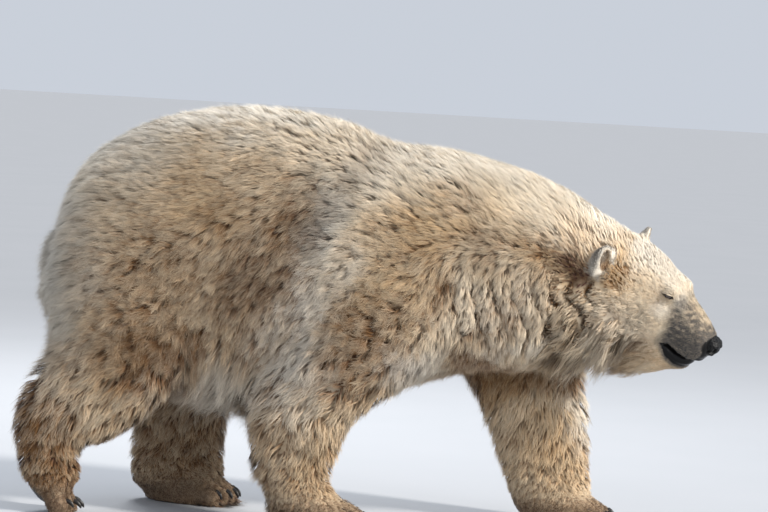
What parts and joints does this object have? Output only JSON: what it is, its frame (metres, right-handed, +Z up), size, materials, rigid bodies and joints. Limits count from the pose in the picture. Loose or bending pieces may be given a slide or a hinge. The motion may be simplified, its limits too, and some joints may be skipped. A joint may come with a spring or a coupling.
{
  "type": "polar bear model",
  "caption": "Life-size still model of a walking polar bear in thick cream fur, head low and turned towards its right, mouth a little open, one hind heel lifted.",
  "frame": {"origin": "on the floor, under the middle of the bear's bounding box", "axes": "+X the way the bear walks, from rump to head; +Y its left side; +Z up; metres"},
  "size_m": [1.9468, 0.6592, 1.1615],
  "materials": {
    "coat": "long dense fur, cream with tan and brown stains",
    "nose_leather": "moist black leather, finely pebbled",
    "horn": "dark horn, worn to a dull gloss",
    "eye": "wet dark brown"
  },
  "bodies": {
    "root": {"claw_fore_left_1": "horn", "claw_fore_left_2": "horn", "claw_fore_left_3": "horn", "claw_fore_left_4": "horn", "claw_fore_left_5": "horn", "claw_fore_right_1": "horn", "claw_fore_right_2": "horn", "claw_fore_right_3": "horn", "claw_fore_right_4": "horn", "claw_fore_right_5": "horn", "claw_hind_left_1": "horn", "claw_hind_left_2": "horn", "claw_hind_left_3": "horn", "claw_hind_left_4": "horn", "claw_hind_left_5": "horn", "claw_hind_right_1": "horn", "claw_hind_right_2": "horn", "claw_hind_right_3": "horn", "claw_hind_right_4": "horn", "claw_hind_right_5": "horn", "ear_left": "coat", "ear_right": "coat", "eye_left": "eye", "eye_right": "eye", "head": "coat", "lower_fore_left": "coat", "lower_fore_right": "coat", "lower_hind_left": "coat", "lower_hind_right": "coat", "lower_jaw": "coat", "neck": "coat", "nose": "nose_leather", "paw_fore_left": "coat", "paw_fore_right": "coat", "paw_hind_left": "coat", "paw_hind_right": "coat", "tail": "coat", "trunk": "coat", "upper_fore_left": "coat", "upper_fore_right": "coat", "upper_hind_left": "coat", "upper_hind_right": "coat"}
  },
  "joints": []
}
